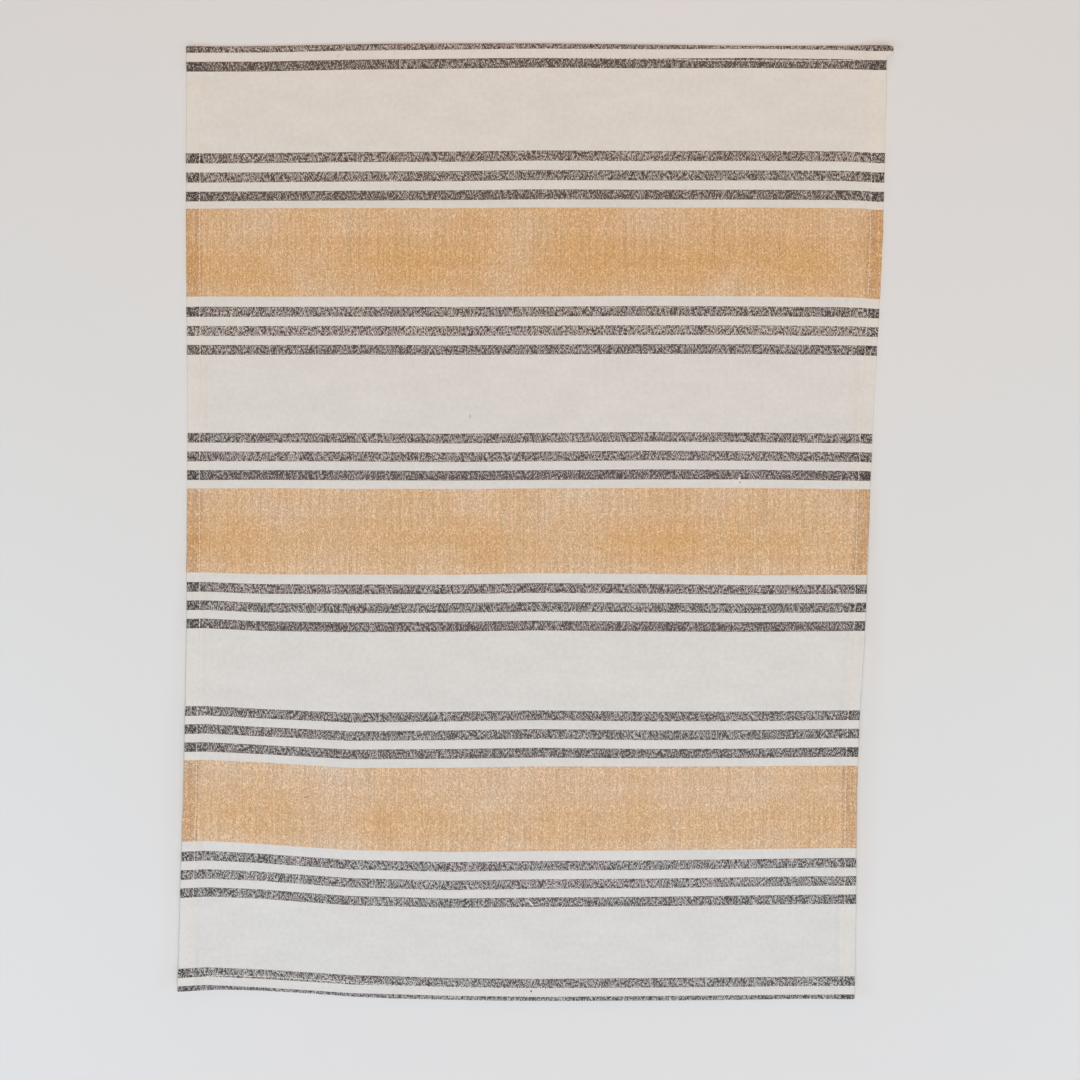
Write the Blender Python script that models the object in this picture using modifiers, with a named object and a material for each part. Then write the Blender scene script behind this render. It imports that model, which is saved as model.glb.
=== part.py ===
"""Tea towel: one cotton cloth with a double-turned hem on all four sides, lying face up.

Metres, +Z up. The origin is under the middle of the towel's box, on the surface that it lies on;
+Y runs from the foot edge to the head edge and +X to the towel's right.
"""

from collections import namedtuple

import bmesh
import bpy
import numpy as np

MM = 0.001

# Driving dimensions
CLOTH_LENGTH = 0.700  # foot fold to head fold, up the middle
BOX_CENTRE = 0.350  # height of the box's middle above the foot line
BODY_THICK = 0.0010  # one layer, with the loft of its yarn
HEM_THICK = 0.0020  # three layers, pressed and stitched
CORNER_THICK = 0.0026  # where a side hem lies inside an end hem
FOLD_THICK = 0.0016  # along the outer fold, where the hem rounds off
SIDE_HEM = 0.0110  # finished width of the hems on the long sides
END_HEM = 0.0125  # finished width of the hems at head and foot
FOLD_ROUND = 0.0012  # width of the rounding along the outer fold
HEM_STEP = 0.0030  # width over which a hem falls to one layer
EAR_REACH = 0.0046  # how far the head hem's right end pokes out past the side
EAR_DEPTH = 0.0058  # how far down from the head fold that end reaches
EAR_STEP = 0.0016  # the step back in below it
EAR_SPREAD = 0.0160  # width at the right over which the cloth is drawn out to it
BODY_COLUMNS = 23  # cells between the side hems
BODY_ROWS = 32  # cells between the end hems
SAME_LINE = 0.00001  # a grid line this near a hem's inner edge lies on it

# The two long sides: height above the foot line, then each edge's distance from the middle, in mm.
# The right hem was sewn on a slant, and the left one swings out at the foot.
SideRow = namedtuple("SideRow", "up left right")
SIDES = (
    SideRow(0, 262.1, 233.8),
    SideRow(50, 260.9, 234.3),
    SideRow(92, 259.8, 234.7),
    SideRow(137, 258.3, 234.9),
    SideRow(210, 256.8, 237.3),
    SideRow(275, 255.8, 240.9),
    SideRow(338, 255.6, 243.4),
    SideRow(412, 254.9, 246.5),
    SideRow(476, 254.9, 250.0),
    SideRow(548, 255.7, 253.5),
    SideRow(617, 256.0, 255.4),
    SideRow(700, 255.7, 257.4),
)

# The two ends: share of the way across, how far the head fold dips below the cloth's length and
# how far the foot fold rises above the foot line, in mm. The left hem is drawn up at the foot.
EndRow = namedtuple("EndRow", "across head_dip foot_rise")
ENDS = (
    EndRow(0.00, 2.0, 6.6),
    EndRow(0.06, 2.1, 7.6),
    EndRow(0.12, 1.8, 7.0),
    EndRow(0.20, 1.0, 4.9),
    EndRow(0.28, 0.4, 2.6),
    EndRow(0.38, 0.1, 1.2),
    EndRow(0.50, 0.0, 0.0),
    EndRow(0.66, 0.8, 0.3),
    EndRow(0.80, 1.3, 0.7),
    EndRow(0.93, 1.4, 1.4),
    EndRow(1.00, 1.9, 1.2),
)
HEAD_FADE = 2  # power of the height by which the head's dips die away towards the foot
FOOT_FADE = 3  # and the same for the foot's rises towards the head

# Where the cloth stands clear of the surface: the swell's middle in mm from the middle line and
# above the foot line, its half width and half length, its turn in degrees and its height in mm.
Swell = namedtuple("Swell", "x up half_width half_length turn height")
SWELLS = (
    Swell(-266, 150, 62, 250, -1, 5.0),  # left side, which curls off the surface
    Swell(242, 170, 56, 300, 2, 5.5),  # right side
    Swell(-178, 92, 44, 165, 34, 3.2),  # slack beside the drawn-up left hem
    Swell(-262, 4, 90, 60, 0, 2.5),  # left corner of the foot
    Swell(246, 2, 70, 50, 0, 2.0),  # right corner of the foot
    Swell(40, -6, 190, 34, 0, 1.6),  # foot fold
    Swell(262, 694, 34, 22, 0, 1.8),  # poked-out end of the head hem
)

CLOTH_COLOUR = (0.68, 0.64, 0.58, 1.0)
CLOTH_ROUGHNESS = 0.9


def column(rows, name):
    """One named column of a table."""
    return np.array([getattr(row, name) for row in rows], float)


def curve_through(at, knots, values):
    """A smooth curve through the knots, read at the given places: a cubic whose slope at each
    knot is that of the line between its two neighbours."""
    at = np.clip(at, knots[0], knots[-1])
    slopes = np.gradient(values, knots)
    left = np.clip(np.searchsorted(knots, at, side="right") - 1, 0, len(knots) - 2)
    step = knots[left + 1] - knots[left]
    t = (at - knots[left]) / step
    rise = values[left + 1] - values[left]
    from_left = values[left] + t * t * (3 - 2 * t) * rise
    bend = t * (1 - t) * step * ((1 - t) * slopes[left] - t * slopes[left + 1])
    return from_left + bend


def hump(t):
    """1 at 0, falling smoothly to 0 at -1 and 1, and 0 beyond."""
    return np.clip(1 - t * t, 0, None) ** 2


def lines_along(length, hem, cells, far_extra=()):
    """Distances of the grid lines from one end to the other: close together at the outer fold and
    at the hem's step, even between the hems. far_extra are lines added before the far end."""
    near = np.array([0, FOLD_ROUND, hem, hem + HEM_STEP])
    body = np.linspace(near[-1], length - near[-1], cells + 1)[1:-1]
    return np.sort(np.concatenate([near, body, length - near, length - np.array(far_extra)]))


def height_above_foot(share, up):
    """A row runs level but for the dips of the head fold and the rises of the foot fold, which
    die away towards the other end."""
    across = column(ENDS, "across")
    dip = curve_through(share, across, column(ENDS, "head_dip")) * MM
    rise = curve_through(share, across, column(ENDS, "foot_rise")) * MM
    part_up = up / CLOTH_LENGTH
    return up - dip * part_up**HEAD_FADE + rise * (1 - part_up) ** FOOT_FADE


def edges_at(height):
    """Distances of the left and the right edge from the middle line."""
    up = column(SIDES, "up")
    left = curve_through(height / MM, up, column(SIDES, "left")) * MM
    right = curve_through(height / MM, up, column(SIDES, "right")) * MM
    return left, right


def lift_off(across, height):
    """How far the underside stands clear of the surface: the sum of the swells."""
    lift = np.zeros_like(across)
    for swell in SWELLS:
        turn = np.radians(swell.turn)
        dx = across / MM - swell.x
        dy = height / MM - swell.up
        sideways = (dx * np.cos(turn) + dy * np.sin(turn)) / swell.half_width
        lengthways = (dy * np.cos(turn) - dx * np.sin(turn)) / swell.half_length
        lift += swell.height * MM * hump(sideways) * hump(lengthways)
    return lift


def underside():
    """The cloth's underside as a grid: its places, and each point's distance from the nearest
    side and from the nearest end."""
    width = (column(SIDES, "left") + column(SIDES, "right")).mean() * MM
    rows = lines_along(CLOTH_LENGTH, END_HEM, BODY_ROWS, (EAR_DEPTH, EAR_DEPTH + EAR_STEP))
    share, up = np.meshgrid(lines_along(width, SIDE_HEM, BODY_COLUMNS) / width, rows)
    height = height_above_foot(share, up)
    left, right = edges_at(height)

    from_head = CLOTH_LENGTH - up
    in_ear = np.clip((EAR_DEPTH + EAR_STEP - from_head) / EAR_STEP, 0, 1)
    drawn_out = np.clip(1 - (1 - share) * width / EAR_SPREAD, 0, 1)
    across = -left + share * (left + right) + EAR_REACH * in_ear * drawn_out

    places = np.stack([across, height - BOX_CENTRE, lift_off(across, height)], -1)
    return places, np.minimum(share, 1 - share) * width, np.minimum(up, from_head)


def layer_weight(from_side, from_end):
    """How thick the cloth is, as the share of the way from one layer to a corner's stack."""
    in_side = from_side <= SIDE_HEM + SAME_LINE
    in_end = from_end <= END_HEM + SAME_LINE
    thick = np.full(from_side.shape, BODY_THICK)
    thick[in_side | in_end] = HEM_THICK
    thick[in_side & in_end] = CORNER_THICK
    thick[np.minimum(from_side, from_end) < SAME_LINE] = FOLD_THICK
    return (thick - BODY_THICK) / (CORNER_THICK - BODY_THICK)


def cloth_material():
    material = bpy.data.materials.new("cotton_cloth")
    material.use_nodes = True
    shader = material.node_tree.nodes["Principled BSDF"]
    shader.inputs["Base Color"].default_value = CLOTH_COLOUR
    shader.inputs["Roughness"].default_value = CLOTH_ROUGHNESS
    shader.inputs["Metallic"].default_value = 0.0
    material.diffuse_color = CLOTH_COLOUR
    return material


def towel_cloth(collection):
    """The cloth with its hems: a shaped grid, given its thickness upwards by Solidify."""
    places, from_side, from_end = underside()
    rows, columns = from_side.shape
    mesh = bpy.data.meshes.new("towel_cloth")
    grid = bmesh.new()
    bmesh.ops.create_grid(grid, x_segments=columns - 1, y_segments=rows - 1, size=0.5)
    grid.verts.ensure_lookup_table()
    for vert, place in zip(grid.verts, places.reshape(-1, 3)):
        vert.co = place
    grid.to_mesh(mesh)
    grid.free()
    mesh.materials.append(cloth_material())

    towel = bpy.data.objects.new("towel_cloth", mesh)
    collection.objects.link(towel)
    layers = towel.vertex_groups.new(name="layers")
    for index, weight in enumerate(layer_weight(from_side, from_end).ravel()):
        layers.add([index], float(weight), "REPLACE")

    shell = towel.modifiers.new("Cloth thickness", "SOLIDIFY")
    shell.thickness = CORNER_THICK
    shell.offset = 1.0
    shell.vertex_group = layers.name
    shell.thickness_vertex_group = BODY_THICK / CORNER_THICK


def main():
    for obj in list(bpy.data.objects):
        bpy.data.objects.remove(obj, do_unlink=True)
    collection = bpy.data.collections.new("tea_towel")
    bpy.context.scene.collection.children.link(collection)
    towel_cloth(collection)


main()
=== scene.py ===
import bpy
import numpy as np
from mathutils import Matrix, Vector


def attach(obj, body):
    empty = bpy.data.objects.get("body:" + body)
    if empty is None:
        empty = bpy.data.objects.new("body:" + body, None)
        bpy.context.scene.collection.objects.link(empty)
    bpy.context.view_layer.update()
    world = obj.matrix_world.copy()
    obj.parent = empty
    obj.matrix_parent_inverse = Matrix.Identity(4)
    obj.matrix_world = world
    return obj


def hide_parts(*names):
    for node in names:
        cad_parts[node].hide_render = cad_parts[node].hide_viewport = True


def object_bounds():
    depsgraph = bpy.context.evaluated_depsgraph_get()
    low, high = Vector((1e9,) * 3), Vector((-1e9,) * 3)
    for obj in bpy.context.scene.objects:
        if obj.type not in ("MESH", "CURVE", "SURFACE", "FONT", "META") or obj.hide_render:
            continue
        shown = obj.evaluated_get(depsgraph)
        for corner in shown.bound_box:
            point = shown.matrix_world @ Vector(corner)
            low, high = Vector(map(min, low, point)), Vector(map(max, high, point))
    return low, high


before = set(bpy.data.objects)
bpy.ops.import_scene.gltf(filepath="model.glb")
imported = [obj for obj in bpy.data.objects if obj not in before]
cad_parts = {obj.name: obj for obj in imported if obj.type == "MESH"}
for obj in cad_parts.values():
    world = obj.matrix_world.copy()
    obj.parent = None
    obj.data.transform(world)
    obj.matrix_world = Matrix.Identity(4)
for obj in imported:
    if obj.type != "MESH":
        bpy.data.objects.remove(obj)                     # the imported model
cadLow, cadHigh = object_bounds()
mm = 0.001
body = "root"
print("frame:", len(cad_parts), "node, CAD box", [round(x, 4) for x in (*cadLow, *cadHigh)])


# the cloth: one rectangle of cotton, each side turned under twice. Sizes in mm.
towel = {
    "length": 700.0,                  # foot fold to head fold, up the middle
    "layer": 0.42,                    # room that one layer takes in a stack
    "cloth": 0.36,                    # one layer's own thickness
    "clear": 0.32,                    # the underside's stitches lie in this gap above the surface
    "sideHem": 11.0,                  # finished width of the hems on the long sides
    "endHem": 12.5,                   # the same at head and foot
    "tuckedTo": 3.2,                  # the raw edge inside a hem stops this far from the fold
    "hemStep": 5.0,                   # over this width the face falls from a hem to one layer
    "cornerPress": 0.30,              # nine layers at a corner are pressed this much thinner
    "cornerTurns": (0.7, 1.1),        # room that an end hem's tight and outer turn take at a corner
    "earReach": 4.4, "earDepth": 5.2, "earStep": 0.6, "earSpread": 16.0,   # the head hem's right end
    # the grid: cells between the hems, over a hem's step and round its two turns, the face's lines
    # beside a fold, closest at the seam, and the lines inside a hem as shares of the way
    "columns": 104, "rows": 150,
    "stepCells": 5, "tightCells": 6, "outerCells": 8,
    "nearFold": (1.4, 3.2, 5.5, 7.6, 8.9, 9.6, 10.2, 10.8),
    "tuckLines": {"side": (0, 0.5), "end": (0, 0.6)},
    "flapLines": {"side": (0, 0.33, 0.67), "end": (0, 0.3, 0.8)},
    # the long sides: height above the foot line, each edge's distance from the middle line
    "sides": {
        "up": (0, 50, 92, 137, 210, 275, 338, 412, 476, 548, 617, 700),
        "left": (261.5, 260.2, 259.1, 257.5, 255.9, 254.9, 254.9, 254.5, 254.8, 255.4, 255.4, 255.1),
        "right": (232.6, 233.4, 233.9, 234.1, 236.5, 240.5, 242.9, 245.9, 249.4, 253.0, 255.0, 256.9),
    },
    "waver": 0.16, "leftWaverEvery": 38, "rightWaverEvery": 33,   # how far and how often a side wavers
    # the two folds: share of the way across, the head fold's dip and the foot fold's rise
    "ends": {
        "across": (0, 0.06, 0.12, 0.20, 0.28, 0.38, 0.50, 0.66, 0.80, 0.93, 0.985, 0.995, 1),
        "headDip": (2.5, 2.6, 2.3, 1.4, 0.7, 0.4, 0.4, 1.3, 2.1, 2.1, 2.0, 2.2, 3.1),
        "footRise": (7.2, 8.6, 7.8, 5.5, 2.9, 1.4, 0.4, 0.5, 0.9, 1.8, 1.8, 1.85, 2.1),
    },
    "headFade": 2, "footFade": 3,     # powers of the height by which those die away
    # where the cloth stands clear: middle, half sizes, turn in degrees, height
    "swells": {
        "x": (-266, 242, -178, -262, 246, 40, 262),
        "up": (150, 170, 92, 4, 2, -6, 694),
        "halfWidth": (62, 56, 44, 90, 70, 190, 34),
        "halfLength": (250, 300, 165, 60, 50, 34, 22),
        "turn": (-1, 2, 34, 0, 0, 0, 0),
        "height": (5.0, 5.5, 3.2, 2.5, 2.0, 1.6, 1.2),
    },
    "pucker": 0.16, "puckerReach": 9.0, "puckerEvery": 17,   # the cloth gathered beside a seam
    "seamGroove": 0.13, "grooveHalf": 1.0,
}

# the seams: lockstitch in ivory thread. Sizes in mm. at runs up the side seams from the foot fold and
# along the others from the middle line, and inset is the seam's distance from its fold.
seams = {
    "stitch": 3.2, "gap": 0.24,       # one stitch along the seam and the gap where the needle went
    "threadWide": 0.66, "threadHigh": 0.32,
    "wideVaries": (0.85, 1.1), "highVaries": (0.9, 1.1),   # shares of those from stitch to stitch
    "wander": 0.12,                   # how far a stitch strays to either side
    "rings": (0, 0.10, 0.26, 0.5, 0.74, 0.90, 1),   # where its rings of points lie along a stitch
    "flatness": 0.45,                 # power of the sine by which a stitch rises from its holes
    "atHole": 0.25,                   # the thread's size in a hole, as a share
    "arch": 0.8, "sunk": 0.55,        # it rises by arch of its height, and is drawn in by sunk of that
    "backShort": 1.5,                 # on the back the side seams end this far short of the end hems
    "left": {
        "at": (14, 90, 200, 300, 395, 450, 520, 677),
        "inset": (9.5, 9.5, 9.0, 9.4, 8.7, 9.4, 9.6, 9.7),
    },
    "right": {
        "at": (14, 90, 200, 280, 300, 412, 500, 590, 620, 677),
        "inset": (8.0, 8.1, 8.6, 8.0, 8.4, 8.7, 8.4, 9.0, 9.3, 9.6),
    },
    "head": {
        "at": (-250, 98, 112, 205, 245),
        "inset": (10.2, 10.2, 10.8, 10.8, 10.2),
    },
    "foot": {
        "at": (-250, -232, -222, -170, -128, -62, 228),
        "inset": (9.7, 9.8, 10.6, 10.5, 10.2, 9.1, 9.0),
    },
}

# the weave, counted in threads: picks run across the towel and ends run up it
weave = {
    "end": 0.72, "pick": 0.72,        # mm from thread to thread, 14 threads to the cm
    "repeat": 281,                    # picks from one ivory band to the next
    "threes": 79, "threesApart": 154,     # the dark stripes lie in threes: first pick, and its step
    "stripe": 10, "stripeEvery": 19,      # picks in a dark stripe, and from one to the next
    "band": 136, "bandPicks": 87,     # the ochre band: first pick, and how many
    # heights of the bands' edges above the foot line, and the pick that lies there
    "up": (717.3, 682.2, 621.7, 585.8, 580.0, 514.8, 507.5, 472.5, 415.2, 380.8, 374.7, 312.6, 305.5,
           270.8, 212.4, 177.9, 171.5, 109.6, 102.3, 68.6, 16.1, -17.0),
    "pickAt": (-48, 0, 79, 127, 136, 223, 233, 281, 360, 408, 417, 504, 514,
               562, 641, 689, 698, 785, 795, 843, 922, 970),
    # how far a pick lies below its level line, by height above the foot line and distance from the
    # middle line
    "bowUp": (690, 600, 586, 578, 515, 490, 399, 374, 312, 288, 210, 182, 171, 110, 86, 13, 0),
    "bowX": (-261, -241, -201, -135, -62, 1, 84, 157, 223, 239, 248),
    "bow": (
        (3.0, 3.0, 2.9, 1.5, 0.7, 0, 0.5, 0.2, 1.0, 1.5, 1.8),
        (1.9, 1.9, 1.7, 1.1, 0.9, 0, 0.4, 0.3, 0.6, 1.2, 1.9),
        (1.8, 1.6, 1.3, 0.9, 0.6, 0, 0.2, 0.3, 0.6, 1.1, 1.8),
        (0.8, 0.6, 0.3, 0.2, 0.2, 0, 0.1, -0.1, 0.2, 0.7, 1.6),
        (0.2, -0.1, 0.1, 0.0, 0.1, 0, -0.6, -0.1, 0.4, 1.0, 1.9),
        (0.3, 0.3, 0.3, 0.1, 0.4, 0, -0.3, -0.3, 0.4, 0.7, 1.0),
        (0.0, -0.1, 0.0, 0.0, 0.6, 0, -0.8, -0.3, 0.4, 0.5, 0.9),
        (0.1, 0.1, -0.2, 0.3, 0.4, 0, -0.3, -0.4, 0.5, 0.7, 0.9),
        (-0.6, -0.6, 0.8, 1.0, 1.2, 0, 0.6, 1.6, 1.2, 1.3, 1.4),
        (-1.0, -1.2, 0.7, 1.1, 0.8, 0, 0.6, 1.1, 0.6, 0.4, 0.4),
        (-3.1, -3.4, -1.1, 1.8, 1.0, 0, 0.9, 0.8, -0.1, -0.2, -0.3),
        (-4.0, -4.3, -2.2, 1.3, 0.9, 0, 0.9, 0.6, -0.6, -0.7, -0.8),
        (-4.6, -4.9, -3.1, 1.2, 1.1, 0, 0.1, -0.1, -0.6, -0.7, -0.8),
        (-7.0, -7.7, -5.3, -0.7, 0.7, 0, -0.4, -1.2, -2.3, -2.4, -2.4),
        (-6.6, -7.5, -5.9, -0.8, 1.0, 0, -0.5, -1.6, -2.5, -2.6, -2.6),
        (-7.7, -8.8, -7.0, -3.0, -0.7, 0, -0.7, -1.2, -2.0, -2.1, -2.1),
        (-7.9, -9.0, -7.0, -2.8, -0.8, 0, -0.6, -1.3, -1.9, -1.9, -1.9),
    ),
}

# a grid line that runs round a hem passes these stages, from the raw edge out to the face
tucked, tightTurn, flap, outerTurn, face = range(5)


def table(rows, name):
    # one row of a dictionary, as an array
    return np.array(rows[name], float)


def smoothThrough(at, knots, values):
    # a cubic between knots, whose slope at each knot is that of the line between its neighbours
    at = np.clip(at, knots[0], knots[-1])
    slopes = np.gradient(values, knots)
    left = np.clip(np.searchsorted(knots, at, side="right") - 1, 0, len(knots) - 2)
    step = knots[left + 1] - knots[left]
    t = (at - knots[left]) / step
    bend = t * (1 - t) * step * ((1 - t) * slopes[left] - t * slopes[left + 1])
    return values[left] + t * t * (3 - 2 * t) * (values[left + 1] - values[left]) + bend


def hump(t):
    # (1 - t squared) squared between -1 and 1, and 0 beyond
    return np.clip(1 - t * t, 0, None) ** 2


def fall(t):
    # 1 before 0, 0 after 1, and a smooth step between
    t = np.clip(t, 0, 1)
    return 1 - t * t * (3 - 2 * t)


def ripple(at, spacing, seed):
    # three sines of unlike lengths about the spacing, added and brought to about -1 to 1
    rng = np.random.default_rng(seed)
    total = 0
    for length in (0.71, 1.0, 1.63):
        total = total + np.sin(2 * np.pi * (at / (spacing * length) + rng.random()))
    return total / 2.2                # their sum seldom passes this


def onGrid(values, linesUp, linesAcross, up, across):
    # the value on a grid at given distances along it, from the four grid points round each place
    j = np.interp(up, linesUp, np.arange(len(linesUp)))
    i = np.interp(across, linesAcross, np.arange(len(linesAcross)))
    j0 = np.minimum(j.astype(int), len(linesUp) - 2)
    i0 = np.minimum(i.astype(int), len(linesAcross) - 2)
    ofVector = (1,) * (values.ndim - 2)
    fj = (j - j0).reshape(j.shape + ofVector)
    fi = (i - i0).reshape(i.shape + ofVector)
    low = (1 - fi) * values[j0, i0] + fi * values[j0, i0 + 1]
    high = (1 - fi) * values[j0 + 1, i0] + fi * values[j0 + 1, i0 + 1]
    return (1 - fj) * low + fj * high


def heightAboveFoot(share, up):
    # level rows, less the head fold's dip times height to a power, plus the foot fold's rise likewise
    ends = towel["ends"]
    across = table(ends, "across")
    dip = smoothThrough(share, across, table(ends, "headDip"))
    rise = smoothThrough(share, across, table(ends, "footRise"))
    part = np.clip(up / towel["length"], 0, 1)
    return up - dip * part ** towel["headFade"] + rise * (1 - part) ** towel["footFade"]


def edgesAt(height):
    # each edge's distance from the middle line: the curve of its table, and a slight waver
    sides = towel["sides"]
    up = table(sides, "up")
    left = smoothThrough(height, up, table(sides, "left"))
    right = smoothThrough(height, up, table(sides, "right"))
    left = left + towel["waver"] * ripple(height, towel["leftWaverEvery"], 1)
    right = right + towel["waver"] * ripple(height, towel["rightWaverEvery"], 2)
    return left, right


def liftOff(x, height):
    # the sum of the swells, each a hump across times a hump along
    lift = np.zeros_like(x)
    swells = towel["swells"]
    for k in range(len(swells["x"])):
        turn = np.radians(swells["turn"][k])
        dx = x - swells["x"][k]
        dy = height - swells["up"][k]
        sideways = (dx * np.cos(turn) + dy * np.sin(turn)) / swells["halfWidth"][k]
        lengthways = (dy * np.cos(turn) - dx * np.sin(turn)) / swells["halfLength"][k]
        lift += swells["height"][k] * hump(sideways) * hump(lengthways)
    return lift


def hemmedLine(length, hem, cells, inTuck, inFlap, extra=()):
    # the lines of a grid that runs round both hems: (stage, part, far). On the face part is the
    # distance from the near fold, and elsewhere it runs from 0 to 1 along the stage. inTuck and
    # inFlap are the parts of the lines inside a hem, and extra are lines of the face, by their
    # distance from the far fold.
    tight = np.linspace(0, 1, towel["tightCells"] + 1)[:-1]
    outer = np.linspace(0, 1, towel["outerCells"] + 1)[:-1]
    turned = []
    for stage, parts in ((tucked, sorted(inTuck)), (tightTurn, tight), (flap, sorted(inFlap)),
                         (outerTurn, outer)):
        turned += [(stage, part) for part in parts]
    step = towel["hemStep"]
    overStep = hem + step * np.linspace(0, 1, towel["stepCells"] + 1)
    nearFace = np.array([*towel["nearFold"], *overStep])
    bodyFace = np.linspace(hem + step, length - hem - step, cells + 1)[1:-1]
    onFace = np.concatenate([[0.0], nearFace, bodyFace, length - nearFace, [length],
                             length - np.array(extra, float)])
    onFace = np.unique(np.round(onFace, 3))                   # in order, and no line twice
    near = np.array([(s, p, 0) for s, p in turned])
    far = np.array([(s, p, 1) for s, p in turned[::-1]])
    between = np.stack([np.full(len(onFace), face), onFace, np.zeros(len(onFace))], -1)
    return np.concatenate([near, between, far])


def foldUnder(line, length, hem, stack, inStack):
    # where a stack of cloth, folded twice under itself at both ends, lies: distance along and height.
    # Tuck: stack + e. Its turn: a half circle of radius e about height stack. Flap: stack - e. Outer
    # turn: a half circle of radius stack / 2 + e about height 1.5 stack. Face: 2 stack + e, which
    # falls to e past the hem. e is inStack, the layer's own height in the stack.
    layer, tuckedTo = towel["layer"], towel["tuckedTo"]
    stage, part, far = (line[:, k].reshape(-1, *[1] * (stack.ndim - 1)) for k in range(3))
    tightAt = hem - stack + layer / 2
    roundAt = 1.5 * stack - layer / 2
    radius = stack / 2 + inStack
    angle = np.pi * part
    fromFold = np.minimum(part, length - part)
    raised = fall((fromFold - hem) / towel["hemStep"])
    turned = [stage == tucked, stage == tightTurn, stage == flap, stage == outerTurn]
    along = np.select(turned, [
        tuckedTo + part * (tightAt - tuckedTo),
        tightAt + inStack * np.sin(angle),
        tightAt + part * (roundAt - tightAt),
        roundAt - radius * np.sin(angle),
    ], np.clip(fromFold, roundAt, None))
    height = np.select(turned, [
        stack + inStack,
        stack + inStack * np.cos(angle),
        stack - inStack,
        1.5 * stack - radius * np.cos(angle),
    ], 2 * stack * raised + inStack)
    beyond = (far > 0) | ((stage == face) & (part > length / 2))
    return np.where(beyond, length - along, along), height


def clothGrid():
    # the whole cloth as a grid of middle-of-layer places, turned first at the long sides and then,
    # with those hems inside, at head and foot. The head hem's right end steps out, so the rows have
    # lines at that step, on the face and inside the end hems.
    width = (table(towel["sides"], "left") + table(towel["sides"], "right")).mean()
    length = towel["length"]
    layer = towel["layer"]
    tuckLines, flapLines = towel["tuckLines"], towel["flapLines"]
    columns = hemmedLine(width, towel["sideHem"], towel["columns"], tuckLines["side"], flapLines["side"])
    ear = towel["earDepth"] + towel["earStep"] * np.array([0, 0.5, 1])
    tight, outer = towel["cornerTurns"]
    flat = towel["endHem"] - tight
    inTuck = (*tuckLines["end"], *((ear - towel["tuckedTo"]) / (flat - towel["tuckedTo"])))
    inFlap = (*flapLines["end"], *((flat - ear) / (flat - outer)))
    rows = hemmedLine(length, towel["endHem"], towel["rows"], inTuck, inFlap, ear)

    one = np.full(1, layer)
    across, height = foldUnder(columns, width, towel["sideHem"], one, one / 2)
    isFace = columns[:, 0] == face
    fromSide = np.minimum(columns[:, 1], width - columns[:, 1])
    stack = np.where(isFace, height + layer / 2, 3 * layer)
    fromEnd = np.where(rows[:, 0] == face, np.minimum(rows[:, 1], length - rows[:, 1]), 0)
    inSide = np.where(isFace, fall((fromSide - towel["sideHem"]) / towel["hemStep"]), 1)
    inEnd = fall((fromEnd - towel["endHem"]) / towel["hemStep"])
    press = 1 - towel["cornerPress"] * inEnd[:, None] * inSide[None, :]
    up, z = foldUnder(rows, length, towel["endHem"], stack[None, :] * press, height[None, :] * press)
    print("cloth grid:", len(rows), "rows,", len(columns), "columns")
    return {"width": width, "rows": rows, "columns": columns, "up": up,
            "across": np.broadcast_to(across[None, :], up.shape), "z": z, "press": press}


def gather(grid):
    # the stitching draws the face in: for each seam, less a groove's hump across it, plus a ripple
    # along it times a wider hump across it
    width, length = grid["width"], towel["length"]
    up, across = grid["up"], grid["across"]
    fromMiddle = across - width / 2
    lines = {
        "left": (across, up, 11),
        "right": (width - across, up, 12),
        "head": (length - up, fromMiddle, 13),
        "foot": (up, fromMiddle, 14),
    }
    shift = np.zeros_like(up)
    for name, (fromFold, alongSeam, seed) in lines.items():
        offSeam = fromFold - np.interp(alongSeam, seams[name]["at"], seams[name]["inset"])
        puckers = ripple(alongSeam, towel["puckerEvery"], seed) * hump(offSeam / towel["puckerReach"])
        shift += towel["pucker"] * puckers - towel["seamGroove"] * hump(offSeam / towel["grooveHalf"])
    onFace = (grid["rows"][:, 0] == face)[:, None] & (grid["columns"][:, 0] == face)[None, :]
    return np.where(onFace, shift, 0)


def placeCloth(grid):
    # puts the folded grid where the towel lies: rows between its two folds, columns between its two
    # sides, the head hem's right end drawn out, and everything raised by the swells
    width, length = grid["width"], towel["length"]
    share = grid["across"] / width
    height = heightAboveFoot(share, grid["up"])
    left, right = edgesAt(height)
    inEar = fall((length - grid["up"] - towel["earDepth"]) / towel["earStep"])
    drawn = np.clip(1 - (width - grid["across"]) / towel["earSpread"], 0, 1)
    x = -left + share * (left + right) + towel["earReach"] * inEar * drawn
    z = grid["z"] + gather(grid) + liftOff(x, height) + towel["clear"]
    return x, height, z


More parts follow.
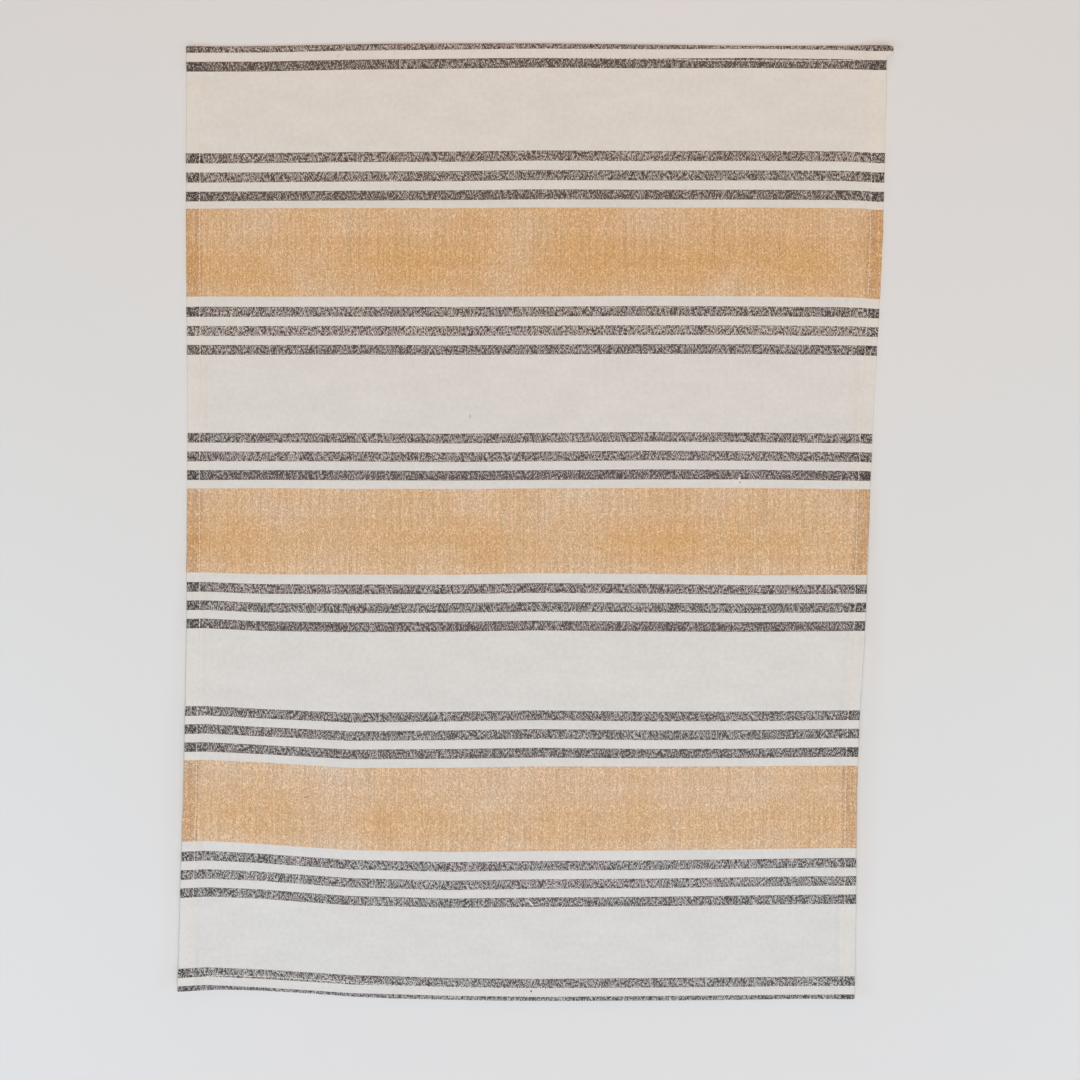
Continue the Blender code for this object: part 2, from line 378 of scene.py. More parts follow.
def threadCounts(grid, x):
    # the end and the pick that lie at each grid point. Round a fold they go on by the length of the
    # turn. A pick's height is turned level by the bow, then read off the bands' edges.
    along = np.hypot(np.diff(grid["up"], axis=0), np.diff(grid["z"], axis=0))
    cloth = np.vstack([np.zeros((1, along.shape[1])), np.cumsum(along, axis=0)])
    middle = len(cloth) // 2
    cloth += grid["up"][middle] - cloth[middle]
    side = np.hypot(np.diff(grid["across"], axis=1), np.diff(grid["z"], axis=1))
    sideways = np.hstack([np.zeros((side.shape[0], 1)), np.cumsum(side, axis=1)])
    faceColumns = np.flatnonzero(grid["columns"][:, 0] == face)
    first, last = faceColumns[0], faceColumns[-1]
    beyondLeft = sideways - sideways[:, [first]] + x[:, [first]]
    beyondRight = sideways - sideways[:, [last]] + x[:, [last]]
    number = np.arange(x.shape[1])[None, :]
    ends = np.where(number < first, beyondLeft, np.where(number > last, beyondRight, x))

    share = grid["across"] / grid["width"]
    inside = np.clip(cloth, 0, towel["length"])
    height = heightAboveFoot(share, inside) + cloth - inside
    bowUp, bow = table(weave, "bowUp")[::-1], table(weave, "bow")[::-1]
    level = height
    for _ in range(3):                # the bow is given by level height, so it settles in rounds
        level = height + onGrid(bow, bowUp, table(weave, "bowX"), level, x)
    bandUp, pickAt = table(weave, "up")[::-1], table(weave, "pickAt")[::-1]
    picks = np.interp(level, bandUp, pickAt)
    picks += np.where(level > bandUp[-1], (bandUp[-1] - level) / weave["pick"], 0)
    picks += np.where(level < bandUp[0], (bandUp[0] - level) / weave["pick"], 0)
    return ends / weave["end"], picks


def gridFaces(rows, columns):
    # one quad for each cell of a grid whose points are counted row by row
    j, i = np.meshgrid(np.arange(rows - 1), np.arange(columns - 1), indexing="ij")
    first = (j * columns + i).ravel()
    return np.stack([first, first + 1, first + columns + 1, first + columns], -1)


def meshFrom(name, points, quads):
    # a smooth-shaded object from its points and its four-sided faces
    mesh = bpy.data.meshes.new(name)
    mesh.vertices.add(len(points))
    mesh.vertices.foreach_set("co", np.asarray(points, np.float32).ravel())
    mesh.loops.add(quads.size)
    mesh.loops.foreach_set("vertex_index", quads.astype(np.int32).ravel())
    mesh.polygons.add(len(quads))
    mesh.polygons.foreach_set("loop_start", np.arange(len(quads), dtype=np.int32) * 4)
    mesh.update(calc_edges=True)
    mesh.validate()
    mesh.shade_smooth()
    made = bpy.data.objects.new(name, mesh)
    bpy.context.collection.objects.link(made)
    return made


def addMap(mesh, name, values):
    # a UV map from one pair of numbers for each vertex
    corner = np.empty(len(mesh.loops), np.int32)
    mesh.loops.foreach_get("vertex_index", corner)
    made = mesh.uv_layers.new(name=name)
    made.data.foreach_set("uv", values.reshape(-1, 2)[corner].astype(np.float32).ravel())


def makeCloth(grid):
    # the placed grid as one mesh, with a map of its thread counts and one of each point's distance
    # from the nearest side, below 0 off the face. Solidify gives it its thickness, less where it is
    # pressed.
    x, height, z = placeCloth(grid)
    footLine = (cadLow[1] + cadHigh[1]) / 2 / mm - towel["length"] / 2
    places = np.stack([x, height + footLine, z], -1) * mm
    ends, picks = threadCounts(grid, x)
    cloth = meshFrom("teaTowelCloth", places.reshape(-1, 3), gridFaces(*x.shape))
    addMap(cloth.data, "threads", np.stack([ends, picks], -1) / 1000)      # thousands of threads

    isFace = grid["columns"][:, 0] == face
    fromSide = np.where(isFace, np.minimum(grid["across"], grid["width"] - grid["across"]), -1)
    addMap(cloth.data, "fromSide", np.stack([fromSide, 0 * fromSide], -1) * mm)   # metres

    thin = cloth.vertex_groups.new(name="pressed")
    presses = np.round(grid["press"], 2)
    for press in np.unique(presses):
        here = np.flatnonzero(np.isclose(presses.ravel(), press))
        thin.add(here.tolist(), float(press), "REPLACE")
    thickness = cloth.modifiers.new("thickness", "SOLIDIFY")
    thickness.thickness = towel["cloth"] * mm
    thickness.offset = 0
    thickness.vertex_group = thin.name
    thickness.use_even_offset = False
    print("cloth:", len(cloth.data.vertices), "points")
    return cloth, places


def stitchLine(starts, ends, outwards, seed):
    # a row of stitches as one array. Each is a thread laid from hole to hole: along t from 0 to 1 its
    # middle rises by sin(pi t) to a power, so it is flat between steep ends, and its section is an
    # ellipse that shrinks to a share of itself at the holes
    rng = np.random.default_rng(seed)
    t = table(seams, "rings")
    rings, sides = len(t), 6          # six sides, since each cap below is two quads
    angle = np.linspace(0, 2 * np.pi, sides + 1)[:-1]
    count = len(starts)
    along = ends - starts
    length = np.linalg.norm(along, axis=1, keepdims=True)
    along = along / length
    up = np.zeros_like(along)
    up[:, 2] = outwards
    sideways = np.cross(along, up)
    bulge = np.sin(np.pi * t) ** seams["flatness"]
    swelling = seams["atHole"] + (1 - seams["atHole"]) * bulge
    wide = seams["threadWide"] / 2 * mm * swelling * rng.uniform(*seams["wideVaries"], (count, 1))
    high = seams["threadHigh"] / 2 * mm * swelling * rng.uniform(*seams["highVaries"], (count, 1))
    rise = (bulge - seams["sunk"]) * seams["threadHigh"] * mm * seams["arch"]
    stray = rng.normal(0, seams["wander"] * mm, (count, 2))
    off = stray[:, :1] * (1 - t) + stray[:, 1:] * t
    middle = (starts[:, None] + along[:, None] * (t[:, None] * length[:, None])
              + up[:, None] * rise[:, None] + sideways[:, None] * off[..., None])
    ring = (sideways[:, None, None] * (wide[..., None] * np.cos(angle))[..., None]
            + up[:, None, None] * (high[..., None] * np.sin(angle))[..., None])
    points = middle[:, :, None] + ring

    j, i = np.meshgrid(np.arange(rings - 1), np.arange(sides), indexing="ij")
    beside = (i + 1) % sides
    wall = np.stack([j * sides + i, j * sides + beside, (j + 1) * sides + beside, (j + 1) * sides + i], -1)
    nearCap = np.array([[0, 5, 4, 3], [0, 3, 2, 1]])
    farCap = np.array([[0, 1, 2, 3], [0, 3, 4, 5]]) + (rings - 1) * sides
    one = np.concatenate([wall.reshape(-1, 4), nearCap, farCap])
    faces = (one[None] + (np.arange(count) * rings * sides)[:, None, None]).reshape(-1, 4)
    return points.reshape(-1, 3), faces


def sewnOn(grid, places, name, side):
    # the cloth that a seam's stitches lie on, and the distances of its grid lines, rising: the face,
    # or on the back the flap of the seam's own hem
    rows, columns = grid["rows"], grid["columns"]
    rowSet, columnSet = rows[:, 0] == face, columns[:, 0] == face
    if side == "back" and name in ("left", "right"):
        columnSet = (columns[:, 0] == flap) & ((columns[:, 2] > 0) == (name == "right"))
    elif side == "back":
        rowSet = (rows[:, 0] == flap) & ((rows[:, 2] > 0) == (name == "head"))
    sheet = places[np.ix_(rowSet, columnSet)]
    middle = grid["up"].shape[1] // 2
    linesUp = grid["up"][rowSet, middle]
    linesAcross = grid["across"][0, columnSet]
    if linesUp[0] > linesUp[-1]:
        sheet, linesUp = sheet[::-1], linesUp[::-1]
    if linesAcross[0] > linesAcross[-1]:
        sheet, linesAcross = sheet[:, ::-1], linesAcross[::-1]
    return sheet, linesUp, linesAcross


def makeStitches(grid, places):
    # each seam on the face, and on the back half a stitch further on
    width, length = grid["width"], towel["length"]
    pitch = seams["stitch"] + seams["gap"]
    half = towel["cloth"] / 2 * mm
    rows = []
    for name in ("left", "right", "head", "foot"):
        at, insets = seams[name]["at"], seams[name]["inset"]
        for side, outwards in (("face", 1), ("back", -1)):
            first, last = at[0], at[-1]
            if side == "back" and name in ("left", "right"):
                first = towel["endHem"] + seams["backShort"]
                last = length - first
            begin = np.arange(first, last - pitch, pitch) + (pitch / 2 if side == "back" else 0)
            sheet = sewnOn(grid, places, name, side)
            holes = []
            for alongSeam in (begin, begin + seams["stitch"]):
                inset = np.interp(alongSeam, at, insets)
                up = {"head": length - inset, "foot": inset}.get(name, alongSeam)
                across = {"left": inset, "right": width - inset}.get(name, alongSeam + width / 2)
                hole = onGrid(*sheet, up, across)
                hole[:, 2] += outwards * half
                holes.append(hole)
            rows.append(stitchLine(*holes, outwards, 40 + len(rows)))
    points = np.concatenate([part[0] for part in rows])
    offsets = np.cumsum([0] + [len(part[0]) for part in rows[:-1]])
    faces = np.concatenate([part[1] + start for part, start in zip(rows, offsets)])
    made = meshFrom("hemStitches", points, faces)
    print("stitches:", len(faces), "faces")
    return made


def hexColour(code):
    # sRGB hex to linear, by the curve of the sRGB standard
    part = np.array([int(code[k:k + 2], 16) for k in (1, 3, 5)]) / 255
    linear = np.where(part <= 0.04045, part / 12.92, ((part + 0.055) / 1.055) ** 2.4)
    return (*(float(x) for x in linear), 1.0)


def newMaterial(name):
    # a material with nodes, and its node tree
    material = bpy.data.materials.new(name)
    material.use_nodes = True
    return material, material.node_tree


def put(tree, kind, sockets=(), out=0, **settings):
    # adds a node with its settings; a socket takes a number, a colour or another node's output
    made = tree.nodes.new("ShaderNode" + kind)
    for name, value in settings.items():
        setattr(made, name, value)
    for socket, value in (sockets.items() if isinstance(sockets, dict) else enumerate(sockets)):
        if isinstance(value, bpy.types.NodeSocket):
            tree.links.new(value, made.inputs[socket])
        else:
            made.inputs[socket].default_value = value
    return made.outputs[out] if made.outputs else None


# plain-woven yarn-dyed cotton: ivory warp over ivory, charcoal and ochre weft. A pair of colours is
# that of the head end and that of the foot end: the yarn's own colour, with painted warm light at the
# head that turns neutral towards the foot.
cotton = {
    "ivory": ("#e4dfd8", "#e0dfdd"), "charcoal": ("#5b4e48", "#585455"),
    "fleck": ("#d3c8be", "#cfcbca"),  # the ivory warp, shaded by charcoal picks
    "ochre": "#daa251",
    "seamThread": "#ece5d9",
    "paintedWarmthGoneBy": 922.0,                # the pick by which the head's painted warm light has turned neutral
    # a crossing's width and length as drawn, in threads. Real cloth of this kind has 18 to 24
    # threads to the cm, so these are drawn coarser, to show as flecks of the photo's size.
    "drawn": (0.76, 1.30),
    "stray": 2.5, "straysEvery": 0.14,    # how far the threads wander, in crossings, and how often
    "missed": 0.28,                   # share of the crossings that look as if the wrong yarn were on top
    # noise over the cloth: its waves to a thread across and along it, and its detail
    "uneven": {
        "streak": (0.55, 0.12, 2.0),      # 1.3 by 6 mm: thick and thin places of the yarn
        "patch": (0.022, 0.05, 4.0),      # 33 by 14 mm
        "cloud": (0.012, 0.014, 5.0),     # 60 by 51 mm: the pale places of the ochre bands
        "warpwise": (0.6, 0.015, 0.0),    # 1.2 by 48 mm: paler and deeper ends
        "mottle": (0.22, 0.22, 1.0),      # 3.3 mm each way
    },
    "warpShows": 0.447,               # half the width of a warp float, as a share of a crossing
    "varies": {"end": 0.14, "crossing": 0.60, "streak": 0.20, "patch": 0.20},   # how far each varies it
    "floatRound": 0.7, "floatEdge": 3.5,  # how far a float narrows to its ends, and how hard its edge is
    "stripeEdge": 0.80,               # a dark stripe's first and last pick show this share of the warp
    # dark stripes whose picks lie closer or looser: their first pick, and how much more warp shows
    "beaten": {
        "pick": (-10, 79, 98, 117, 233, 252, 271, 360, 379, 398, 552, 679, 795, 814, 833, 922),
        "more": (-.16, .01, .01, -.11, .04, .22, -.01, .04, .03, -.13, -.11, -.06, .06, .11, .03, .08),
    },
    # the ochre's paleness, as a share of ivory: its mean at the head, its wave down each band and
    # where that is highest, what it gains to the foot and by which pick, and its clouds
    "ochrePale": 0.190, "paleWave": 0.046, "paleAt": 0.12,
    "paleToFoot": 0.105, "paleReachedBy": 600.0, "paleCloud": 0.38,
    "ochreWarp": 0.16,                # the soft ochre weft covers the warp, so little of it shows
    "warpMean": 0.33,                 # the share of warp at which the grain neither lifts nor dims
    "ochreGrain": 0.28, "hemGrain": 0.48, "fleckTint": (1, 1.3, 1.26), "ochreStreak": 0.24,
    # the ivory's mottle in grains, and its broad patches of painted shade as of soft folds
    "ivoryGrain": 0.05, "ivoryFoldShade": 0.10,
    # in a hem three layers lie on each other, so less light comes through and the dyes look deeper.
    # hemBlend is where that ends, in mm past the hem's inner edge, and the others are shares.
    "hemBlend": (-0.4, 0.6),
    "hemShows": 0.75, "hemCharcoal": 0.62, "hemOchre": (0.93, 0.89, 0.84), "hemIvory": (1.03, 1.01, 0.99),
    "threadBack": 0.10, "bumpStrength": 0.5,   # how high a thread's rounded back stands, in mm
    "flawEdge": (0.7, 1.1),           # a flaw fades between these shares of its half sizes
    # slubs, specks and a faint grey mark: x and y from the middle, half width and half length in mm,
    # turn in degrees, colour and strength
    "flaws": (
        (-167.8, -201.0, 0.45, 1.6, -62, "#a8552c", 0.9),
        (-3.6, -278.6, 0.60, 3.6, 41, "#ece8e2", 1.0),
        (-3.4, -342.8, 0.75, 0.85, 0, "#4c4a48", 0.9),
        (-48.0, 77.2, 0.75, 1.7, 0, "#b9b7b2", 0.7),
        # a faint grey mark that lies slantwise across the threads
        (-144.2, 341.0, 0.70, 2.2, -38, "#ccc5be", 0.6),
        (-139.9, 344.7, 0.75, 0.75, 0, "#ece4dc", 1.0),
        (-100.4, 334.8, 0.40, 3.6, 0, "#544740", 0.9),       # a thick end, and a slack one beside it
        (-99.3, 334.8, 0.35, 3.6, 0, "#cdc3bb", 0.7),
        (148.8, 32.0, 0.85, 0.9, 0, "#f2eee8", 1.0),
        (149.4, 28.9, 0.60, 0.6, 0, "#6a6561", 0.8),
        (257.3, 333.7, 1.5, 4.6, 0, "#d9cfc4", 1.0),         # the turned corner's pale end
    ),
}


def unevenness(tree, count):
    # each noise of the dictionary, stretched along the threads
    by = {}
    for name, (across, along, detail) in cotton["uneven"].items():
        scaled = put(tree, "VectorMath", {0: count, 1: (across, along, 0)}, operation="MULTIPLY")
        by[name] = put(tree, "TexNoise", {"Vector": scaled, "Scale": 1.0, "Detail": detail},
                       noise_dimensions="2D")
    return by


def crossings(tree, count):
    # a checker of crossings whose lines stray a little: how far a place is from its crossing's
    # middle, whether the weft is on top there, and what chance gives its end and the crossing
    drawn = put(tree, "VectorMath", {0: count, 1: (*cotton["drawn"], 1)}, operation="DIVIDE")
    wander = put(tree, "TexNoise", {"Vector": count, "Scale": cotton["straysEvery"], "Detail": 1.0}, out=1,
                 noise_dimensions="2D")
    stray = (cotton["stray"], cotton["stray"], 0)
    loose = put(tree, "VectorMath", {0: wander, 1: stray, 2: drawn}, operation="MULTIPLY_ADD")
    cell = put(tree, "VectorMath", {0: loose}, operation="FLOOR")
    off = put(tree, "VectorMath", {0: loose}, operation="FRACTION")
    off = put(tree, "VectorMath", {0: off, 1: (0.5, 0.5, 0)}, operation="SUBTRACT")
    off = put(tree, "VectorMath", {0: off}, operation="ABSOLUTE")
    end = put(tree, "SeparateXYZ", {0: cell}, out=0)
    row = put(tree, "SeparateXYZ", {0: cell}, out=1)
    chance = put(tree, "TexWhiteNoise", {"Vector": cell}, out=1, noise_dimensions="2D")
    missed = put(tree, "SeparateXYZ", {0: chance}, out=1)
    missed = put(tree, "Math", (missed, cotton["missed"]), operation="LESS_THAN")
    weftUp = put(tree, "Math", (end, row), operation="ADD")
    weftUp = put(tree, "Math", (weftUp, missed), operation="ADD")
    return {
        "weftUp": put(tree, "Math", (weftUp, 2.0), operation="FLOORED_MODULO"),
        "offX": put(tree, "SeparateXYZ", {0: off}, out=0),
        "offY": put(tree, "SeparateXYZ", {0: off}, out=1),
        "end": put(tree, "TexWhiteNoise", {"W": end}, noise_dimensions="1D"),
        "crossing": put(tree, "SeparateXYZ", {0: chance}, out=0),
    }


def stripesAt(tree, pick):
    # which yarn a pick is: the dark stripes come in threes, and the threes are evenly apart. Picks
    # are whole numbers, so slack is any amount below 1.
    slack = 0.3
    inRepeat = put(tree, "Math", (pick, float(weave["repeat"])), operation="FLOORED_MODULO")
    inThrees = put(tree, "Math", (inRepeat, float(weave["threes"])), operation="SUBTRACT")
    inThrees = put(tree, "Math", (inThrees, float(weave["threesApart"])), operation="FLOORED_MODULO")
    inStripe = put(tree, "Math", (inThrees, float(weave["stripeEvery"])), operation="FLOORED_MODULO")
    half = (weave["stripe"] - 1) / 2
    threesWide = weave["stripeEvery"] * 2 + weave["stripe"]
    isStripe = put(tree, "Math", (inStripe, half, half + slack), operation="COMPARE")
    isThrees = put(tree, "Math", (inThrees, threesWide - slack), operation="LESS_THAN")
    halfBand = (weave["bandPicks"] - 1) / 2
    inBand = put(tree, "Math", (inRepeat, float(weave["band"])), operation="SUBTRACT")
    return {
        "dark": put(tree, "Math", (isStripe, isThrees), operation="MULTIPLY"),
        "inner": put(tree, "Math", (inStripe, half, half - 1 + slack), operation="COMPARE"),
        "ochre": put(tree, "Math", (inBand, halfBand, halfBand + slack), operation="COMPARE"),
        "downBand": put(tree, "Math", (inBand, float(weave["bandPicks"])), operation="DIVIDE"),
    }


def warpOnTop(tree, pick, by, stripes, inHem):
    # how much of the ivory warp shows at a crossing. A float is a lens: it shows where its half width
    # is more than offX plus floatRound times offY squared, with a soft edge. Chance, a hem, a
    # stripe's edge and closer or looser picks make it wider or narrower.
    shows = cotton["warpShows"] - sum(cotton["varies"].values()) / 2
    for name, amount in cotton["varies"].items():
        shows = put(tree, "Math", (by[name], amount, shows), operation="MULTIPLY_ADD")
    half = weave["stripe"] / 2
    for first, more in zip(cotton["beaten"]["pick"], cotton["beaten"]["more"]):
        here = put(tree, "Math", (pick, first + half - 0.5, half), operation="COMPARE")
        shows = put(tree, "Math", (here, more, shows), operation="MULTIPLY_ADD")
    share = put(tree, "MapRange", {"Value": inHem, "To Min": 1.0, "To Max": cotton["hemShows"]})
    shows = put(tree, "Math", (shows, share), operation="MULTIPLY")
    share = put(tree, "MapRange", {"Value": stripes["inner"], "To Min": cotton["stripeEdge"], "To Max": 1.0})
    shows = put(tree, "Math", (shows, share), operation="MULTIPLY")
    lens = put(tree, "Math", (by["offY"], by["offY"]), operation="MULTIPLY")
    lens = put(tree, "Math", (lens, cotton["floatRound"], by["offX"]), operation="MULTIPLY_ADD")
    warp = put(tree, "Math", (shows, lens), operation="SUBTRACT")
    warp = put(tree, "Math", (warp, cotton["floatEdge"], 0.5), operation="MULTIPLY_ADD", use_clamp=True)
    warpUp = put(tree, "Math", (1.0, by["weftUp"]), operation="SUBTRACT")
    return put(tree, "Math", (warp, warpUp), operation="MULTIPLY")


def darkColour(tree, warp, yarns, inHem):
    # charcoal picks, and the warp's flecks on them
    share = put(tree, "MapRange", {"Value": inHem, "To Min": 1.0, "To Max": cotton["hemCharcoal"]})
    charcoal = put(tree, "VectorMath", {0: yarns["charcoal"], "Scale": share}, operation="SCALE")
    return put(tree, "Mix", {0: warp, 6: charcoal, 7: yarns["fleck"]}, out=2, data_type="RGBA")


def ivoryColour(tree, by, yarns, inHem):
    # slightly mottled in grains, and in broad patches of painted shade as of soft folds
    grain, patch = cotton["ivoryGrain"], cotton["ivoryFoldShade"]
    mottle = put(tree, "Math", (by["mottle"], grain * 2, 1 - grain - patch / 2), operation="MULTIPLY_ADD")
    # painted shade: the broad patch noise lifts and dims the ivory as soft folds would
    mottle = put(tree, "Math", (by["patch"], patch, mottle), operation="MULTIPLY_ADD")
    ivory = put(tree, "VectorMath", {0: yarns["ivory"], "Scale": mottle}, operation="SCALE")
    hemTint = put(tree, "Mix", {0: inHem, 6: (1, 1, 1, 1), 7: (*cotton["hemIvory"], 1)}, out=2,
                  data_type="RGBA")
    return put(tree, "VectorMath", {0: ivory, 1: hemTint}, operation="MULTIPLY")


def ochreColour(tree, pick, by, warp, stripes, yarns, inHem):
    # each band pales near its head side and deepens past its middle, in wide soft patches, and the
    # second and third are paler than the first. The warp's floats lift it like a grain.
    turn = 2 * np.pi
    wave = put(tree, "Math", (stripes["downBand"], turn, -turn * cotton["paleAt"]), operation="MULTIPLY_ADD")
    wave = put(tree, "Math", (wave,), operation="COSINE")
    cloud = put(tree, "Math", (by["cloud"], by["cloud"]), operation="MULTIPLY")   # mean 1/4, few peaks
    least = cotton["ochrePale"] - cotton["paleCloud"] / 4
    pale = put(tree, "MapRange", {"Value": pick, "From Min": 0.0, "From Max": cotton["paleReachedBy"],
                                  "To Min": least, "To Max": least + cotton["paleToFoot"]})
    pale = put(tree, "Math", (wave, cotton["paleWave"], pale), operation="MULTIPLY_ADD")
    pale = put(tree, "Math", (cloud, cotton["paleCloud"], pale), operation="MULTIPLY_ADD")
    pale = put(tree, "Math", (warp, cotton["ochreWarp"], pale), operation="MULTIPLY_ADD", use_clamp=True)
    ochre = put(tree, "Mix", {0: pale, 6: hexColour(cotton["ochre"]), 7: yarns["ivory"]}, out=2,
                data_type="RGBA")

    strength = put(tree, "MapRange", {"Value": inHem, "To Min": cotton["ochreGrain"],
                                      "To Max": cotton["hemGrain"]})
    grain = put(tree, "Math", (warp, cotton["warpMean"]), operation="SUBTRACT")
    grain = put(tree, "Math", (grain, strength), operation="MULTIPLY")
    grain = put(tree, "VectorMath", {0: grain, 1: cotton["fleckTint"]}, operation="MULTIPLY")
    streak = cotton["ochreStreak"]
    streak = put(tree, "Math", (by["warpwise"], streak, 1 - streak / 2), operation="MULTIPLY_ADD")
    grain = put(tree, "VectorMath", {0: streak, 1: grain}, operation="ADD")
    ochre = put(tree, "VectorMath", {0: ochre, 1: grain}, operation="MULTIPLY")
    hemTint = put(tree, "Mix", {0: inHem, 6: (1, 1, 1, 1), 7: (*cotton["hemOchre"], 1)}, out=2,
                  data_type="RGBA")
    return put(tree, "VectorMath", {0: ochre, 1: hemTint}, operation="MULTIPLY")


def withFlaws(tree, colour):
    # slubs, specks and a grey mark, each an ellipse on the cloth
    place = put(tree, "TexCoord", out=3)
    fadeFrom, fadeTo = cotton["flawEdge"]
    for x, y, halfWide, halfLong, turn, code, strength in cotton["flaws"]:
        near = put(tree, "Mapping", {0: place, 1: (x * mm, y * mm, 0), 2: (0, 0, np.radians(turn)),
                                     3: (halfWide * mm, halfLong * mm, 1)}, vector_type="TEXTURE")
        near = put(tree, "VectorMath", {0: near, 1: (1, 1, 0)}, operation="MULTIPLY")
        far = put(tree, "VectorMath", {0: near}, out=1, operation="LENGTH")
        spot = put(tree, "MapRange", {"Value": far, "From Min": fadeFrom, "From Max": fadeTo,
                                      "To Min": strength, "To Max": 0.0})
        colour = put(tree, "Mix", {0: spot, 6: colour, 7: hexColour(code)}, out=2, data_type="RGBA")
    return colour


def clothMaterial():
    # matt cotton: no gloss, a faint bloom of fibre ends at grazing angles, and each crossing of an
    # ivory end over a coloured pick showing as a light fleck
    material, tree = newMaterial("plainWovenCotton")
    tree.nodes.clear()
    threads = put(tree, "UVMap", uv_map="threads")
    count = put(tree, "VectorMath", {0: threads, "Scale": 1000.0}, operation="SCALE")
    pick = put(tree, "SeparateXYZ", {0: count}, out=1)
    pick = put(tree, "Math", (pick,), operation="FLOOR")
    fromSide = put(tree, "UVMap", uv_map="fromSide")
    fromSide = put(tree, "SeparateXYZ", {0: fromSide}, out=0)
    blendFrom, blendTo = ((towel["sideHem"] + past) * mm for past in cotton["hemBlend"])
    inHem = put(tree, "MapRange", {"Value": fromSide, "From Min": blendFrom, "From Max": blendTo,
                                   "To Min": 1.0, "To Max": 0.0})
    # painted light: the yarns turn from the head's warm cast to the foot's neutral colours
    paintedWarmthFading = put(tree, "MapRange", {"Value": pick, "From Min": 0.0, "From Max": cotton["paintedWarmthGoneBy"]})
    yarns = {}
    for name in ("ivory", "charcoal", "fleck"):
        atHead, atFoot = (hexColour(code) for code in cotton[name])
        yarns[name] = put(tree, "Mix", {0: paintedWarmthFading, 6: atHead, 7: atFoot}, out=2, data_type="RGBA")

    by = {**unevenness(tree, count), **crossings(tree, count)}
    stripes = stripesAt(tree, pick)
    warp = warpOnTop(tree, pick, by, stripes, inHem)
    ivory = ivoryColour(tree, by, yarns, inHem)
    dark = darkColour(tree, warp, yarns, inHem)
    ochre = ochreColour(tree, pick, by, warp, stripes, yarns, inHem)
    colour = put(tree, "Mix", {0: stripes["dark"], 6: ivory, 7: dark}, out=2, data_type="RGBA")
    colour = put(tree, "Mix", {0: stripes["ochre"], 6: colour, 7: ochre}, out=2, data_type="RGBA")
    colour = withFlaws(tree, colour)

    # a thread's rounded back: 1 less the square of twice the distance from its middle
    toSide = put(tree, "Mix", {0: by["weftUp"], 2: by["offX"], 3: by["offY"]}, data_type="FLOAT")
    toSide = put(tree, "Math", (toSide, toSide), operation="MULTIPLY")
    height = put(tree, "Math", (toSide, -4.0, 1.0), operation="MULTIPLY_ADD")
    normal = put(tree, "Bump", {"Height": height, "Distance": cotton["threadBack"] * mm,
                                "Strength": cotton["bumpStrength"]})
    surface = put(tree, "BsdfPrincipled", {"Base Color": colour, "Roughness": 0.92, "Normal": normal,
                                           "Specular IOR Level": 0.25, "Sheen Weight": 0.12,
                                           "Sheen Roughness": 0.6})
    put(tree, "OutputMaterial", {"Surface": surface})
    print("cloth material:", len(tree.nodes), "nodes")
    return material


def threadMaterial():
    # spun polyester-cotton sewing thread: smoother and a little shinier than the cloth, in strands
    # of a quarter of a millimetre
    material, tree = newMaterial("spunSewingThread")
    tree.nodes.clear()
    place = put(tree, "TexCoord", out=3)
    strand = put(tree, "TexNoise", {"Vector": place, "Scale": 1 / (0.25 * mm), "Detail": 1.0})
    tone = put(tree, "MapRange", {"Value": strand, "To Min": 0.94, "To Max": 1.04})
    thread = hexColour(cotton["seamThread"])[:3]
    colour = put(tree, "VectorMath", {0: thread, "Scale": tone}, operation="SCALE")
    surface = put(tree, "BsdfPrincipled", {"Base Color": colour, "Roughness": 0.6,
                                           "Specular IOR Level": 0.35, "Sheen Weight": 0.1})
    put(tree, "OutputMaterial", {"Surface": surface})
    print("thread material:", len(tree.nodes), "nodes")
    return material


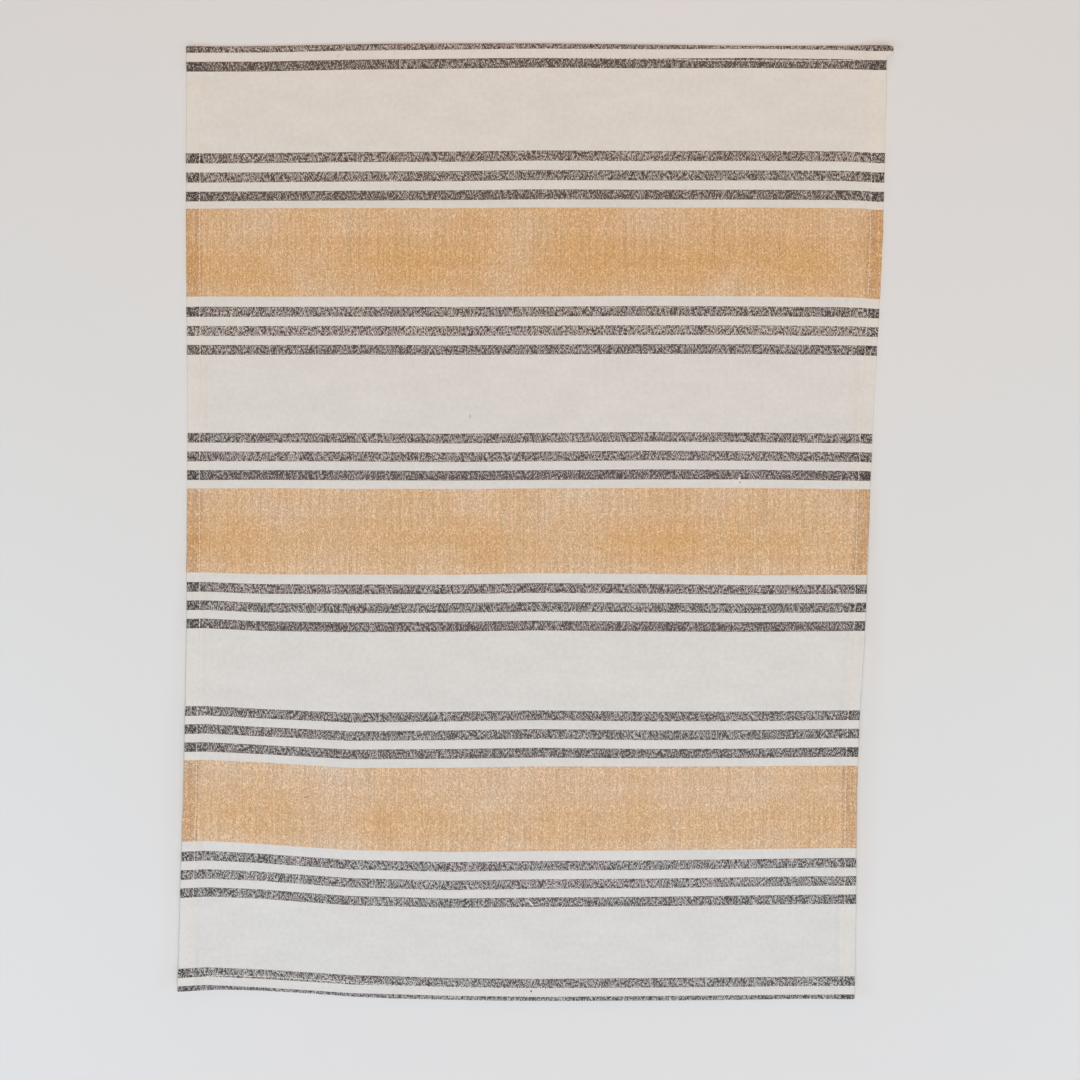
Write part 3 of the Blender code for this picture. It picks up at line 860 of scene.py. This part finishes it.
# a plain studio, in metres: soft lights as place, side, power in W and tint, and a camera straight above
studioSet = {
    "floor": 0.782, "floorHalf": 5.0, "floorDrop": 0.02 * mm,
    "softboxes": {
        "key": ((0.10, -0.80, 5.40), 1.6, 168.6, (1.0, 0.903, 0.788)),
        "foot": ((0.02, -1.20, 1.00), 0.8, 4.0, (0.71, 0.725, 1.0)),
        "head": ((0.12, 1.20, 0.75), 0.8, 3.15, (1.0, 0.60, 0.43)),
        "left": ((-1.20, -0.45, 0.70), 0.5, 4.56, (0.52, 0.825, 1.0)),
        "right": ((1.20, -0.45, 0.70), 0.5, 3.66, (0.54, 0.86, 1.0)),
    },
    "room": (0.92, 0.93, 1.0), "roomStrength": 0.13,
    "camera": (0.0031, -0.0131, 5.0), "frameWide": 0.7895,   # metres that the photo spans on the towel
    "sensor": 36,                     # mm
}


def studio():
    # the floor, lamps that face the towel, the room's faint light and the camera
    half, drop = studioSet["floorHalf"], studioSet["floorDrop"]
    corners = np.array([[x * half, y * half, -drop] for x, y in ((-1, -1), (1, -1), (1, 1), (-1, 1))])
    floor = meshFrom("floor", corners, np.array([[0, 1, 2, 3]]))
    material, tree = newMaterial("paleFloor")
    shader = tree.nodes["Principled BSDF"]
    shader.inputs["Base Color"].default_value = (*[studioSet["floor"]] * 3, 1)
    shader.inputs["Roughness"].default_value = 0.95
    shader.inputs["Specular IOR Level"].default_value = 0.1
    floor.data.materials.append(material)

    for name, (place, size, power, tint) in studioSet["softboxes"].items():
        light = bpy.data.lights.new(name, "AREA")
        light.shape = "SQUARE"
        light.size = size
        light.energy = power
        light.color = tint
        lamp = bpy.data.objects.new(name, light)
        lamp.location = place
        lamp.rotation_mode = "QUATERNION"
        lamp.rotation_quaternion = lamp.location.to_track_quat("Z", "Y")
        bpy.context.collection.objects.link(lamp)

    world = bpy.data.worlds.new("softRoom")
    world.use_nodes = True
    background = world.node_tree.nodes["Background"]
    background.inputs["Color"].default_value = (*studioSet["room"], 1)
    background.inputs["Strength"].default_value = studioSet["roomStrength"]
    bpy.context.scene.world = world

    lens = bpy.data.cameras.new("overhead")
    lens.sensor_width = studioSet["sensor"]
    lens.lens = studioSet["sensor"] * studioSet["camera"][2] / studioSet["frameWide"]
    camera = bpy.data.objects.new("overhead", lens)
    camera.location = studioSet["camera"]
    bpy.context.collection.objects.link(camera)
    bpy.context.scene.camera = camera
    bpy.context.scene.view_settings.view_transform = "Standard"
    bpy.context.scene.cycles.denoising_prefilter = "NONE"     # or the denoiser takes the weave for noise
    print("studio:", len(studioSet["softboxes"]), "lights")


grid = clothGrid()
cloth, places = makeCloth(grid)
stitches = makeStitches(grid, places)
cloth.data.materials.append(clothMaterial())
stitches.data.materials.append(threadMaterial())
for piece in (cloth, stitches):
    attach(piece, body)
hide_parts("towel_cloth")
studio()
